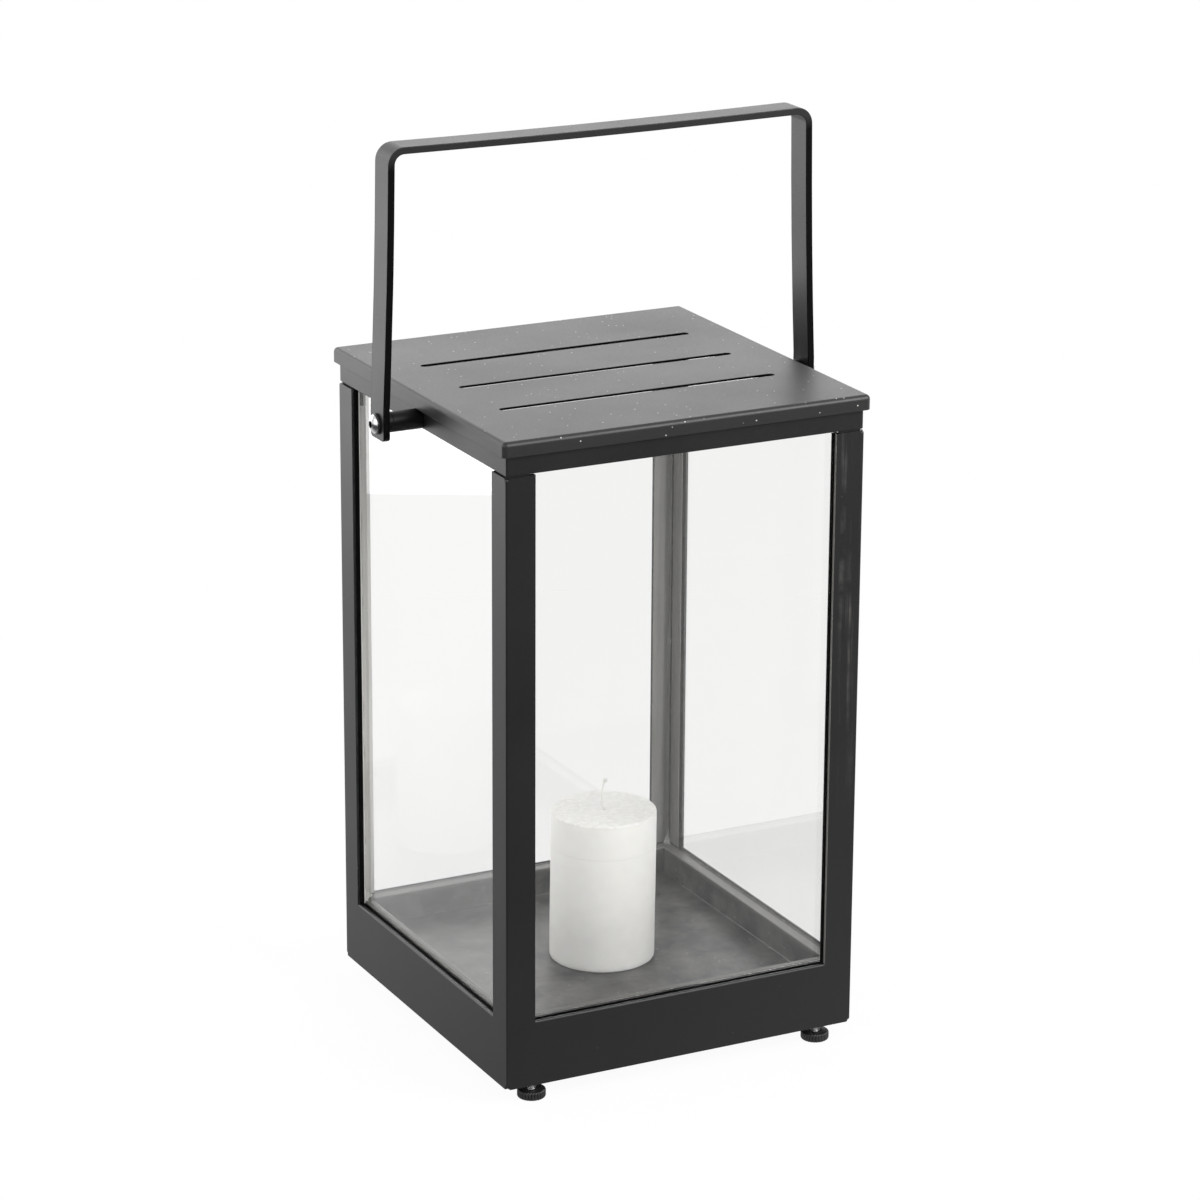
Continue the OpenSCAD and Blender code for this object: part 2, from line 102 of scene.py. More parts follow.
class LanternMetalSettings(bpy.types.PropertyGroup):
    """Powder coat of the frame, lid and handle"""

    coat: FloatVectorProperty(
        name="Coat colour",
        description="Colour of the powder coat",
        subtype="COLOR",
        size=3,
        min=0,
        max=1,
        default=(0.0055, 0.0055, 0.0057),
    )
    grain_size: FloatProperty(
        name="Grain size",
        description="Size of the powder coat's fine grain",
        unit="LENGTH",
        default=0.9 * MM,
        min=0.2 * MM,
        max=4 * MM,
    )
    grain_height: FloatProperty(
        name="Grain height",
        description="Height of the powder coat's grain",
        unit="LENGTH",
        default=0.05 * MM,
        min=0,
        max=0.5 * MM,
    )
    gloss: FloatProperty(
        name="Roughness",
        description="Roughness of the powder coat",
        subtype="FACTOR",
        default=0.42,
        min=0,
        max=1,
    )
    sheet_edge: FloatProperty(
        name="Sheet edge radius",
        description="Rounding of the cut edges of sheet and angle",
        unit="LENGTH",
        default=0.4 * MM,
        min=0.05 * MM,
        max=0.7 * MM,
    )
    bar_edge: FloatProperty(
        name="Bar edge radius",
        description="Rounding of the handle's long edges",
        unit="LENGTH",
        default=1.9 * MM,
        min=0.1 * MM,
        max=2.1 * MM,
    )
    tray_bend: FloatProperty(
        name="Tray bend radius",
        description="Rounding of the tray's folds",
        unit="LENGTH",
        default=0.7 * MM,
        min=0.1 * MM,
        max=0.74 * MM,
    )
    hardware_edge: FloatProperty(
        name="Hardware edge radius",
        description="Rounding of the edges of screws, washers and standoffs",
        unit="LENGTH",
        default=0.25 * MM,
        min=0.05 * MM,
        max=0.5 * MM,
    )


class LanternGlassSettings(bpy.types.PropertyGroup):
    """Panes and their seals"""

    tint: FloatVectorProperty(
        name="Glass tint",
        description="What a pane lets through",
        subtype="COLOR",
        size=3,
        min=0,
        max=1,
        default=(0.978, 0.978, 0.973),
    )
    pane_edge: FloatProperty(
        name="Pane edge radius",
        description="Rounding of the panes' ground edges",
        unit="LENGTH",
        default=0.5 * MM,
        min=0.05 * MM,
        max=1 * MM,
    )
    bead_wobble: FloatProperty(
        name="Bead wobble",
        description="How unevenly the silicone beads are drawn, as a share of their size",
        subtype="FACTOR",
        default=0.3,
        min=0,
        max=0.6,
    )
    blob_size: FloatProperty(
        name="Bead end size",
        description="How much larger a bead is at its lower end",
        default=2.1,
        min=1,
        max=3,
    )


class LanternFootSettings(bpy.types.PropertyGroup):
    """Levelling feet"""

    ribs: IntProperty(
        name="Ribs",
        description="Number of grip ribs round a foot disc",
        default=28,
        min=12,
        max=60,
    )
    rib_depth: FloatProperty(
        name="Rib depth",
        description="Depth of the grooves between the ribs",
        unit="LENGTH",
        default=0.6 * MM,
        min=0.1 * MM,
        max=1 * MM,
    )
    pitch: FloatProperty(
        name="Thread pitch",
        description="Distance between the screw's turns",
        unit="LENGTH",
        default=1 * MM,
        min=0.5 * MM,
        max=2 * MM,
    )
    thread_depth: FloatProperty(
        name="Thread depth",
        description="Depth of the screw's thread",
        unit="LENGTH",
        default=0.55 * MM,
        min=0.1 * MM,
        max=0.8 * MM,
    )


class LanternCandleSettings(bpy.types.PropertyGroup):
    """Pillar candle and wick"""

    wax: FloatVectorProperty(
        name="Wax colour",
        description="Colour of the candle",
        subtype="COLOR",
        size=3,
        min=0,
        max=1,
        default=(0.87, 0.862, 0.835),
    )
    rim: FloatProperty(
        name="Rim radius",
        description="Rounding of the candle's top and bottom edges",
        unit="LENGTH",
        default=1.5 * MM,
        min=0.5 * MM,
        max=4 * MM,
    )
    dish: FloatProperty(
        name="Dish depth",
        description="How deep the candle's top is dished",
        unit="LENGTH",
        default=0.6 * MM,
        min=0,
        max=4 * MM,
    )
    lean: FloatProperty(
        name="Lean",
        description="How far the candle's top leans over to the right and front",
        unit="LENGTH",
        default=1.0 * MM,
        min=0,
        max=3 * MM,
    )
    wick_colour: FloatVectorProperty(
        name="Wick colour",
        description="Colour of the cotton wick",
        subtype="COLOR",
        size=3,
        min=0,
        max=1,
        default=(0.83, 0.82, 0.785),
    )
    wick_twist: FloatProperty(
        name="Wick twist",
        description="Length of one turn of the wick's strands",
        unit="LENGTH",
        default=6 * MM,
        min=2 * MM,
        max=20 * MM,
    )


class LanternStageSettings(bpy.types.PropertyGroup):
    """Camera, lamps and ground"""

    azimuth: FloatProperty(
        name="Azimuth",
        description="Camera's turn round the lantern from straight in front",
        subtype="ANGLE",
        default=math.radians(-27.076),
    )
    elevation: FloatProperty(
        name="Elevation",
        description="Camera's height angle",
        subtype="ANGLE",
        default=math.radians(17.96),
    )
    roll: FloatProperty(
        name="Roll",
        description="Camera's tilt about its own axis",
        subtype="ANGLE",
        default=math.radians(0.319),
    )
    distance: FloatProperty(
        name="Distance",
        description="From the camera to the point it looks at",
        unit="LENGTH",
        default=2.846,
        min=0.5,
        max=10,
    )
    aim: FloatVectorProperty(
        name="Aim",
        description="Point that the camera looks at",
        subtype="TRANSLATION",
        size=3,
        default=(0.00227, -0.00161, 0.28295),
    )
    lens: FloatProperty(
        name="Lens",
        description="Focal length in millimetres on a 36 mm sensor",
        default=131.58,
        min=20,
        max=300,
    )
    left_power: FloatProperty(
        name="Left lamp",
        description="Power of the soft lamp on the left, in watts",
        default=11.5,
        min=0,
        max=500,
    )
    rim_power: FloatProperty(
        name="Rim lamp",
        description="Power of the low lamp behind on the left, in watts",
        default=6.3,
        min=0,
        max=500,
    )
    back_power: FloatProperty(
        name="Back lamp",
        description="Power of the broad low lamp behind, in watts",
        default=14,
        min=0,
        max=500,
    )
    fill_power: FloatProperty(
        name="Fill lamp",
        description="Power of the high soft lamp in front on the right, in watts",
        default=30,
        min=0,
        max=500,
    )
    room_level: FloatProperty(
        name="Room light",
        description="Strength of the even light all round",
        default=0.70,
        min=0,
        max=2,
    )


# ---------------------------------------------------------------- material building


class Finish:
    """One node material round a Principled shader, in the lantern's own coordinates"""

    def __init__(self, name):
        self.material = bpy.data.materials.new(name)
        self.material.use_nodes = True
        tree = self.material.node_tree
        self.nodes = tree.nodes
        self.links = tree.links
        self.nodes.clear()
        self.output = self.nodes.new("ShaderNodeOutputMaterial")
        self.shader = self.nodes.new("ShaderNodeBsdfPrincipled")
        self.links.new(self.shader.outputs["BSDF"], self.output.inputs["Surface"])
        self.coords = self.nodes.new("ShaderNodeTexCoord").outputs["Object"]

    def set(self, **values):
        """Sets the shader's own sockets: base_color=..., ior=..."""
        for key, value in values.items():
            name = key.replace("_", " ").title().replace("Ior", "IOR")
            self.shader.inputs[name].default_value = value

    def drive(self, name, socket):
        self.links.new(socket, self.shader.inputs[name])

    def feed(self, socket, value):
        """Connects a socket to another one, or sets it to a plain value"""
        if isinstance(value, bpy.types.NodeSocket):
            self.links.new(value, socket)
        else:
            socket.default_value = value

    def stretched(self, scale):
        """The lantern's coordinates times a factor for each axis"""
        node = self.nodes.new("ShaderNodeMapping")
        node.inputs["Scale"].default_value = scale
        self.links.new(self.coords, node.inputs["Vector"])
        return node.outputs["Vector"]

    def noise(self, size, detail=2.0, coarse=0.5, vector=None):
        """Cloudy noise whose lumps are about size metres across"""
        node = self.nodes.new("ShaderNodeTexNoise")
        node.inputs["Scale"].default_value = 1 / size
        node.inputs["Detail"].default_value = detail
        node.inputs["Roughness"].default_value = coarse
        self.links.new(vector or self.coords, node.inputs["Vector"])
        return node.outputs["Fac"]

    def axis(self, name):
        node = self.nodes.new("ShaderNodeSeparateXYZ")
        self.links.new(self.coords, node.inputs["Vector"])
        return node.outputs[name]

    def ramp(self, value, start, end, low=0.0, high=1.0, smooth=False):
        """Maps start..end to low..high, held at both ends"""
        node = self.nodes.new("ShaderNodeMapRange")
        node.interpolation_type = "SMOOTHSTEP" if smooth else "LINEAR"
        self.links.new(value, node.inputs["Value"])
        node.inputs["From Min"].default_value = start
        node.inputs["From Max"].default_value = end
        node.inputs["To Min"].default_value = low
        node.inputs["To Max"].default_value = high
        return node.outputs["Result"]

    def math(self, kind, a, b=0.0):
        node = self.nodes.new("ShaderNodeMath")
        node.operation = kind
        self.feed(node.inputs[0], a)
        self.feed(node.inputs[1], b)
        return node.outputs["Value"]

    def mix(self, share, a, b):
        """Colour a turning to colour b as share goes from 0 to 1"""
        node = self.nodes.new("ShaderNodeMix")
        node.data_type = "RGBA"
        self.feed(node.inputs["Factor"], share)
        self.feed(node.inputs[6], a)
        self.feed(node.inputs[7], b)
        return node.outputs[2]

    def specks(self, spacing, radius, share):
        """1 in small round specks, spacing apart, of which only a share is there"""
        node = self.nodes.new("ShaderNodeTexVoronoi")
        node.inputs["Scale"].default_value = 1 / spacing
        self.links.new(self.coords, node.inputs["Vector"])
        dot = self.ramp(node.outputs["Distance"], radius / spacing, 0.4 * radius / spacing)
        split = self.nodes.new("ShaderNodeSeparateColor")
        self.links.new(node.outputs["Color"], split.inputs["Color"])
        chosen = self.math("LESS_THAN", split.outputs["Red"], share)
        return self.math("MULTIPLY", dot, chosen)

    def bump(self, height, distance, strength=1.0, under=None):
        node = self.nodes.new("ShaderNodeBump")
        node.inputs["Strength"].default_value = strength
        node.inputs["Distance"].default_value = distance
        self.links.new(height, node.inputs["Height"])
        if under is not None:
            self.links.new(under, node.inputs["Normal"])
        return node.outputs["Normal"]


def shade(colour, factor):
    """A colour times a factor, with alpha"""
    return (colour[0] * factor, colour[1] * factor, colour[2] * factor, 1.0)


def gap_below(height, near, far):
    """The place below a height and between two distances from the middle, which a coat paints dark as
    shade
    """

    def place(f, aside):
        band = f.math("MULTIPLY", f.ramp(aside, near, near + 0.3 * MM), f.ramp(aside, far, far - 0.3 * MM))
        return f.math("MULTIPLY", band, f.ramp(f.axis("Z"), height, height - 0.3 * MM))

    return place


def shaded_bar_edges(reach, top):
    """The long edges of a bar, which reach metres to both sides, below a height: painted dark as shade"""

    def place(f, aside):
        edge = f.ramp(f.math("ABSOLUTE", f.axis("Y")), reach - 1.0 * MM, reach - 0.4 * MM)
        return f.math("MULTIPLY", edge, f.ramp(f.axis("Z"), top, top - 8 * MM, 0.0, 0.85))

    return place


def powder_coat(name, settings, dust=0.0, streaks=0.0, depth=1.0, hollow=None, highlit_end=None):
    """
    Fine-grained black powder coat, with dust and drip streaks where asked. depth scales its
    colour and sheen, and below 1 paints them darker as shade. hollow is a function that gives the
    places painted near-black without sheen, as shade, and scuffed the x of a leg's end that is
    painted pale as a highlight.
    """
    f = Finish(name)
    grain = f.noise(settings.grain_size, 3.0, 0.6)
    cloud = f.noise(60 * MM, 3.0)
    deep = shade(settings.coat, 0.6 * depth)
    light = shade(settings.coat, 1.4 * depth)
    colour = f.mix(f.ramp(grain, 0.3, 0.7), deep, light)
    colour = f.mix(f.ramp(cloud, 0.3, 0.7, 0.0, 0.35), colour, shade(settings.coat, 1.5))
    pale = shade((0.16, 0.155, 0.145), 1.0)
    colour = f.mix(f.math("MULTIPLY", f.specks(9 * MM, 0.35 * MM, 0.25), 0.7), colour, pale)
    if dust > 0:
        film = f.ramp(f.noise(28 * MM, 5.0, 0.62), 0.38, 0.72, 0.0, dust)
        film = f.math("MAXIMUM", film, f.ramp(f.axis("Z"), 50 * MM, 55 * MM, 0.0, min(1.0, dust)))
        colour = f.mix(film, colour, pale)
        crumbs = f.specks(4.5 * MM, 0.6 * MM, 0.30)
        colour = f.mix(crumbs, colour, shade((0.55, 0.54, 0.52), 1.0))
    if streaks > 0:
        runs = f.noise(4 * MM, 3.0, 0.6, f.stretched((1.0, 1.0, 0.03)))
        broken = f.noise(30 * MM, 4.0, 0.6)
        marks = f.math("MULTIPLY", f.ramp(runs, 0.50, 0.72), f.ramp(broken, 0.40, 0.65))
        marks = f.math("MULTIPLY", marks, f.ramp(f.axis("Z"), 0.16, 0.24))
        colour = f.mix(f.math("MULTIPLY", marks, streaks), colour, pale)
    # The end face of a leg, at x below scuffed, is painted pale as a highlight
    if highlit_end is not None:
        colour = f.mix(f.ramp(f.axis("X"), highlit_end + 0.2 * MM, highlit_end + 0.05 * MM), colour, pale)
    sheen = 0.5 * depth
    # Where hollow says, the coat is painted near-black with almost no sheen, as shade
    if hollow is not None:
        aside = f.math("MAXIMUM", f.math("ABSOLUTE", f.axis("X")), f.math("ABSOLUTE", f.axis("Y")))
        dark = hollow(f, aside)
        colour = f.mix(dark, colour, (0.0005, 0.0005, 0.0005, 1))
        f.drive("Specular IOR Level", f.ramp(dark, 0.0, 1.0, sheen, SHADOW_SHEEN * sheen))
    else:
        f.set(specular_ior_level=sheen)
    f.drive("Base Color", colour)
    rough = f.ramp(f.math("ADD", grain, f.math("MULTIPLY", cloud, 0.6)), 0.5, 1.1, -0.05, 0.05)
    f.drive("Roughness", f.math("ADD", rough, settings.gloss))
    f.set(ior=1.45)
    f.drive("Normal", f.bump(grain, settings.grain_height, 0.7))
    return f.material


def bright_metal(name, socket=None):
    """Bright zinc-plated steel with faint turning marks; socket is a bore's axis height and radius, the
    bore painted near-black as shade and dirt
    """
    f = Finish(name)
    marks = f.noise(0.5 * MM, 4.0, 0.6)
    colour = f.mix(marks, (0.48, 0.48, 0.49, 1), (0.66, 0.66, 0.67, 1))
    if socket is not None:
        height, radius = socket
        out = f.math("POWER", f.axis("Y"), 2.0)
        up = f.math("POWER", f.math("SUBTRACT", f.axis("Z"), height), 2.0)
        away = f.math("SQRT", f.math("ADD", out, up))
        # Inside the bore the steel is painted near-black, as shade and dirt
        bore_shade = f.ramp(away, radius, 0.96 * radius)
        colour = f.mix(bore_shade, colour, (0.03, 0.03, 0.03, 1))
    f.drive("Base Color", colour)
    f.drive("Roughness", f.ramp(marks, 0.3, 0.7, 0.14, 0.26))
    f.set(metallic=1.0)
    f.drive("Normal", f.bump(marks, 0.01 * MM, 0.4))
    return f.material


def black_plastic(name):
    """Moulded black plastic, slightly worn grey on its high spots"""
    f = Finish(name)
    grain = f.noise(0.6 * MM, 3.0)
    wear = f.noise(5 * MM, 4.0, 0.6)
    f.drive("Base Color", f.mix(f.ramp(wear, 0.5, 0.75), (0.008, 0.008, 0.008, 1), (0.03, 0.03, 0.03, 1)))
    f.drive("Roughness", f.ramp(grain, 0.3, 0.7, 0.30, 0.42))
    f.drive("Normal", f.bump(grain, 0.02 * MM, 0.5))
    return f.material


def rubber(name, face):
    """Matt black sealing strip, grey with dried glue on its faces against the glass, the glue painted
    paler on the left as light from that side
    """
    f = Finish(name)
    grain = f.noise(0.8 * MM, 3.0)
    runs = f.noise(5 * MM, 4.0, 0.6, f.stretched((1.0, 1.0, 0.05)))
    aside = f.math("MAXIMUM", f.math("ABSOLUTE", f.axis("X")), f.math("ABSOLUTE", f.axis("Y")))
    at_glass = f.ramp(aside, face + 0.5 * MM, face + 0.2 * MM)
    glue = f.math("MULTIPLY", at_glass, f.ramp(runs, 0.3, 0.7, 0.7, 1.0))
    black = f.mix(grain, (0.001, 0.001, 0.001, 1), (0.005, 0.005, 0.005, 1))
    # The glue is painted pale on the left and dark grey on the right, as the light falls
    side = f.ramp(f.axis("X"), -0.10, 0.02)
    film = f.mix(side, (0.84, 0.83, 0.80, 1), (0.25, 0.245, 0.235, 1))
    f.drive("Base Color", f.mix(glue, black, film))
    f.drive("Roughness", f.ramp(grain, 0.3, 0.7, 0.7, 0.9))
    f.set(specular_ior_level=0.05)
    f.drive("Normal", f.bump(grain, 0.03 * MM, 0.5))
    return f.material


def see_through(finish, share=1.0):
    """Lets lamp light pass the finish's shader unbent, so that panes cast no hard shadow"""
    path = finish.nodes.new("ShaderNodeLightPath")
    clear = finish.nodes.new("ShaderNodeBsdfTransparent")
    blend = finish.nodes.new("ShaderNodeMixShader")
    clear.inputs["Color"].default_value = (share, share, share, 1)
    passing = finish.math(
        "MAXIMUM", path.outputs["Is Shadow Ray"], path.outputs["Is Diffuse Ray"]
    )
    finish.links.new(passing, blend.inputs["Fac"])
    finish.links.new(finish.shader.outputs["BSDF"], blend.inputs[1])
    finish.links.new(clear.outputs["BSDF"], blend.inputs[2])
    finish.links.new(blend.outputs["Shader"], finish.output.inputs["Surface"])


def pane_glass(name, settings, foot):
    """Clear float glass with a film of dust that thickens towards the tray, and a foot painted dark as
    shade
    """
    f = Finish(name)
    smear = f.noise(45 * MM, 4.0, 0.6, f.stretched((1.0, 1.0, 0.45)))
    low = f.ramp(f.axis("Z"), 0.36, 0.05, 0.0, 1.0, smooth=True)
    film = f.math("MULTIPLY", f.ramp(smear, 0.3, 0.75, 0.2, 1.0), low)
    tint = f.mix(film, shade(settings.tint, 1.0), shade(settings.tint, 0.985))
    # The pane's lowest millimetre or so, down in the gap, is painted dark as shade, hiding its edge's
    # glint
    shaded_foot = f.ramp(f.axis("Z"), foot + 1.4 * MM, foot + 0.8 * MM)
    f.drive("Base Color", f.mix(shaded_foot, tint, shade(settings.tint, 0.45)))
    f.drive("Roughness", f.ramp(film, 0.2, 1.0, 0.0, 0.02))
    f.set(transmission_weight=1.0, ior=1.5)
    see_through(f, 0.96)
    return f.material


def clear_silicone(name, foot, veil):
    """Clear silicone with a milky veil, cloudier where it is smeared at its foot"""
    f = Finish(name)
    cloud = f.noise(6 * MM, 4.0, 0.6)
    f.drive("Base Color", f.mix(cloud, (0.55, 0.55, 0.53, 1), (0.80, 0.80, 0.78, 1)))
    f.drive("Roughness", f.ramp(cloud, 0.3, 0.7, 0.12, 0.3))
    f.set(ior=1.42)
    f.drive("Normal", f.bump(f.noise(2.5 * MM, 3.0), 0.25 * MM, 0.7))
    clear = f.nodes.new("ShaderNodeBsdfTransparent")
    clear.inputs["Color"].default_value = (0.93, 0.93, 0.92, 1)
    blend = f.nodes.new("ShaderNodeMixShader")
    smear = f.ramp(f.axis("Z"), foot + 9 * MM, foot + 2 * MM, veil, veil + 0.26, smooth=True)
    near_foot = f.ramp(f.axis("Z"), foot + 12 * MM, foot + 6 * MM)
    crumbs = f.math("MULTIPLY", f.specks(2.4 * MM, 0.7 * MM, 0.5), near_foot)
    milky = f.math("ADD", smear, f.ramp(cloud, 0.5, 0.75, 0.0, 0.10))
    f.links.new(f.math("MAXIMUM", milky, crumbs), blend.inputs["Fac"])
    f.links.new(clear.outputs["BSDF"], blend.inputs[1])
    f.links.new(f.shader.outputs["BSDF"], blend.inputs[2])
    f.links.new(blend.outputs["Shader"], f.output.inputs["Surface"])
    return f.material


def candle_wax(name, settings, top):
    """Smooth wax, with the crystal pattern of cast wax on its dished top"""
    f = Finish(name)
    cloud = f.noise(9 * MM, 4.0, 0.55)
    fine = f.noise(1.6 * MM, 3.0, 0.6)
    crystal = f.noise(3.5 * MM, 6.0, 0.75, f.stretched((1.0, 1.0, 0.2)))
    on_top = f.ramp(f.axis("Z"), top - 2.2 * MM, top - 1.2 * MM)
    wax = f.mix(f.ramp(cloud, 0.3, 0.7), shade(settings.wax, 0.975), shade(settings.wax, 1.02))
    pattern = f.math("MULTIPLY", f.ramp(crystal, 0.45, 0.62), on_top)
    # The dished top is painted darker than the sides, as shade
    wax = f.mix(f.math("MULTIPLY", on_top, 0.8), wax, shade(settings.wax, 0.86))
    # A thin line of painted shade darkens the wax along the seam's groove
    seam_drop = 23.8 * MM
    seam = f.math("ABSOLUTE", f.math("SUBTRACT", f.axis("Z"), top - seam_drop))
    wax = f.mix(f.ramp(seam, 0.7 * MM, 0.2 * MM, 0.0, 0.5), wax, shade(settings.wax, 0.9))
    f.drive("Base Color", f.mix(f.math("MULTIPLY", pattern, 0.9), wax, shade(settings.wax, 1.05)))
    f.drive("Roughness", f.ramp(fine, 0.3, 0.7, 0.45, 0.6))
    f.set(subsurface_weight=0.35, subsurface_radius=(6 * MM, 5 * MM, 4 * MM))
    f.set(subsurface_scale=1.0, ior=1.44)
    side = f.bump(fine, 0.05 * MM, 0.5)
    f.drive("Normal", f.bump(f.math("MULTIPLY", crystal, on_top), 0.5 * MM, 0.5, side))
    return f.material


def cotton(name, settings):
    """Waxed cotton strands"""
    f = Finish(name)
    fibre = f.noise(0.35 * MM, 4.0, 0.7, f.stretched((1.0, 1.0, 0.3)))
    dark = shade(settings.wick_colour, 0.75)
    light = shade(settings.wick_colour, 1.15)
    f.drive("Base Color", f.mix(fibre, dark, light))
    f.drive("Roughness", f.ramp(fibre, 0.3, 0.7, 0.7, 0.95))
    f.set(sheen_weight=0.3)
    f.drive("Normal", f.bump(fibre, 0.08 * MM, 0.7))
    return f.material


# ---------------------------------------------------------------- shape building


def smooth_shading(mesh):
    mesh.polygons.foreach_set("use_smooth", [True] * len(mesh.polygons))
    mesh.set_sharp_from_angle(angle=SHADE_ANGLE)
    mesh.update()


def new_piece(name, bm, material, node):
    """Turns a bmesh into a piece that stands for a CAD node and rides on its body"""
    mesh = bpy.data.meshes.new(name)
    bmesh.ops.recalc_face_normals(bm, faces=bm.faces)
    bm.to_mesh(mesh)
    bm.free()
    mesh.materials.append(material)
    piece = bpy.data.objects.new(name, mesh)
    bpy.context.scene.collection.objects.link(piece)
    smooth_shading(mesh)
    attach(piece, frame["nodes"][node]["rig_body"])
    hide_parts(node)
    return piece


def round_off(bm, edges, radius, segments):
    bmesh.ops.bevel(
        bm,
        geom=edges,
        offset=radius,
        offset_type="OFFSET",
        segments=segments,
        profile=0.5,
        affect="EDGES",
        clamp_overlap=True,
    )


def soften(node, radius, material, segments=3, skip=None, folded=None):
    """
    Copies a node's shape with its sharp edges rounded. skip names edges left sharp, folded
    names edges with twice the radius.
    """
    bm = bmesh.new()
    bm.from_mesh(frame["nodes"][node].data)
    bmesh.ops.remove_doubles(bm, verts=bm.verts, dist=WELD)
    bmesh.ops.dissolve_limit(
        bm, angle_limit=FLAT_ANGLE, verts=bm.verts, edges=bm.edges, use_dissolve_boundaries=False
    )

    def sharp():
        for e in bm.edges:
            if len(e.link_faces) == 2 and e.calc_face_angle() > EDGE_ANGLE:
                ends = e.verts[0].co, e.verts[1].co
                if not (skip and skip(*ends)):
                    yield e, ends

    if folded:
        round_off(bm, [e for e, ends in sharp() if folded(*ends)], 2 * radius, segments)
    round_off(bm, [e for e, ends in sharp()], radius, segments)
    piece = new_piece(node + "_shape", bm, material, node)
    weighted = piece.modifiers.new("Even shading", "WEIGHTED_NORMAL")
    weighted.keep_sharp = True
    return piece


def dress(node, material):
    """Gives a CAD node that keeps its own shape a finish"""
    mesh = frame["nodes"][node].data
    mesh.materials.clear()
    mesh.materials.append(material)


def skin(bm, rings, closed=True):
    """Joins rings of vertices with quads; closed joins each ring's ends"""
    for low, high in zip(rings, rings[1:]):
        count = len(low)
        for i in range(count if closed else count - 1):
            j = (i + 1) % count
            bm.faces.new((low[i], low[j], high[j], high[i]))


def turned(bm, centre, profile, steps, wobble=None):
    """A turned shape: profile is (radius, height) from the bottom axis to the top axis"""
    rings = []
    for radius, height in profile[1:-1]:
        ring = []
        for i in range(steps):
            angle = 2 * math.pi * i / steps
            r = radius + (wobble(angle, radius, height) if wobble else 0)
            ring.append(
                bm.verts.new(centre + Vector((r * math.cos(angle), r * math.sin(angle), height)))
            )
        rings.append(ring)
    skin(bm, rings)
    for end, ring in ((profile[0], rings[0]), (profile[-1], rings[-1])):
        tip = bm.verts.new(centre + Vector((0, 0, end[1])))
        for i in range(steps):
            bm.faces.new((tip, ring[i], ring[(i + 1) % steps]))


def tube(bm, points, radii, sides):
    """A round tube along points, closed at both ends"""
    rings = []
    for k, point in enumerate(points):
        ahead = points[min(k + 1, len(points) - 1)] - points[max(k - 1, 0)]
        turn = ahead.normalized().to_track_quat("Z", "Y")
        ring = []
        for i in range(sides):
            angle = 2 * math.pi * i / sides
            offset = Vector((math.cos(angle), math.sin(angle), 0)) * radii[k]
            ring.append(bm.verts.new(point + turn @ offset))
        rings.append(ring)
    skin(bm, rings)
    bm.faces.new(rings[0])
    bm.faces.new(rings[-1])


def quarter_arc(centre, radius, start, steps):
    """Points of a quarter circle, counter-clockwise from start degrees"""
    points = []
    for i in range(steps + 1):
        a = math.radians(start + 90 * i / steps)
        points.append((centre[0] + radius * math.cos(a), centre[1] + radius * math.sin(a)))
    return points


def middle(low, high):
    return Vector(((low.x + high.x) / 2, (low.y + high.y) / 2, low.z))


# ---------------------------------------------------------------- operators


class LanternOperator(bpy.types.Operator):
    """Base of the lantern's operators"""

    bl_options = {"REGISTER", "UNDO"}

    @classmethod
    def poll(cls, context):
        return context.scene is not None


class LANTERN_OT_frame_metal(LanternOperator):
    """Finish the skirt, posts, top ring and the hidden brackets, rails and plates"""

    bl_idname = "lantern.frame_metal"
    bl_label = "Frame metal"

    def execute(self, context):
        metal = context.scene.lantern_metal
        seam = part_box("base_skirt")[1].z
        coat = powder_coat("frame_powder_coat", metal)
        # Below the skirt's top edge, between 115 and 123.6 mm out, the coat is painted dark as the shade
        # in the gap
        inner_gap = gap_below(seam - 0.9 * MM, 115 * MM, 123.6 * MM)
        shaded = powder_coat("skirt_powder_coat", metal, hollow=inner_gap)
        clear = 0.05 * MM
        near, far = (corner.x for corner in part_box("post_back_right"))
        # The front right post's coat has drip streaks, and the end of its front leg is painted pale as a
        # highlight
        dripped_and_highlit = powder_coat("dripped_highlit_powder_coat", metal, streaks=0.5, highlit_end=near)

        def on_seam(a, b):
            return abs(a.z - seam) < clear and abs(b.z - seam) < clear

        def on_fold(a, b):
            return min(abs(a.x), abs(a.y), abs(b.x), abs(b.y)) > far - clear

        def on_end(a, b):
            return on_seam(a, b) or max(min(abs(a.x), abs(a.y)), min(abs(b.x), abs(b.y))) < near + clear

        soften("base_skirt", metal.sheet_edge, shaded, skip=on_seam)
        for corner in CORNERS:
            finish = dripped_and_highlit if corner == "front_right" else coat
            soften("post_" + corner, metal.sheet_edge, finish, 3, on_end, on_fold)
        soften("top_ring", metal.sheet_edge, coat)
        for corner in CORNERS:
            dress("bracket_" + corner, coat)
            dress("foot_plate_" + corner, coat)
        for side in SIDES:
            dress("rail_" + side, coat)
        return {"FINISHED"}


class LANTERN_OT_tray(LanternOperator):
    """Finish the floor tray, with its folded edges and dust"""

    bl_idname = "lantern.tray"
    bl_label = "Floor tray"

    def execute(self, context):
        metal = context.scene.lantern_metal
        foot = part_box("glass_front")[0]
        # Where the tray's edge reaches out past the panes into the gap, it is painted dark as shade
        gap = gap_below(foot.z + 0.4 * MM, -foot.y - 0.8 * MM, 140 * MM)
        coat = powder_coat("dusty_gap_shaded_powder_coat", metal, dust=0.65, hollow=gap)
        soften("floor_tray", metal.tray_bend, coat)
        return {"FINISHED"}


